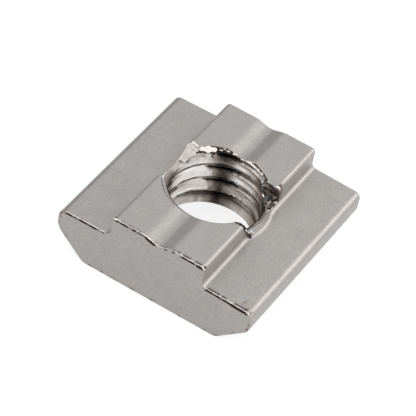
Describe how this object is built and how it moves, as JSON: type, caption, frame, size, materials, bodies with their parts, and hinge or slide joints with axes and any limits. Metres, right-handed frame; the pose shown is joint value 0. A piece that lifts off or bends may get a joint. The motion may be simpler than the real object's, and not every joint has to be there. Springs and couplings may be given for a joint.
{
  "type": "t slot nut",
  "caption": "Flat sliding nut for a T-slot profile: two bevelled flanges, a grooved rib along the middle and a tapped bore that breaks through the rib's sides.",
  "frame": {"origin": "bore axis where it meets the flat underside", "axes": "+Z along the bore, out of the slot's mouth; +Y along the slot; +X across the flanges"},
  "size_m": [0.0158, 0.0154, 0.0056],
  "materials": {
    "plated_steel": "satin nickel plate"
  },
  "bodies": {
    "root": {"t_slot_nut": "plated_steel"}
  },
  "joints": []
}
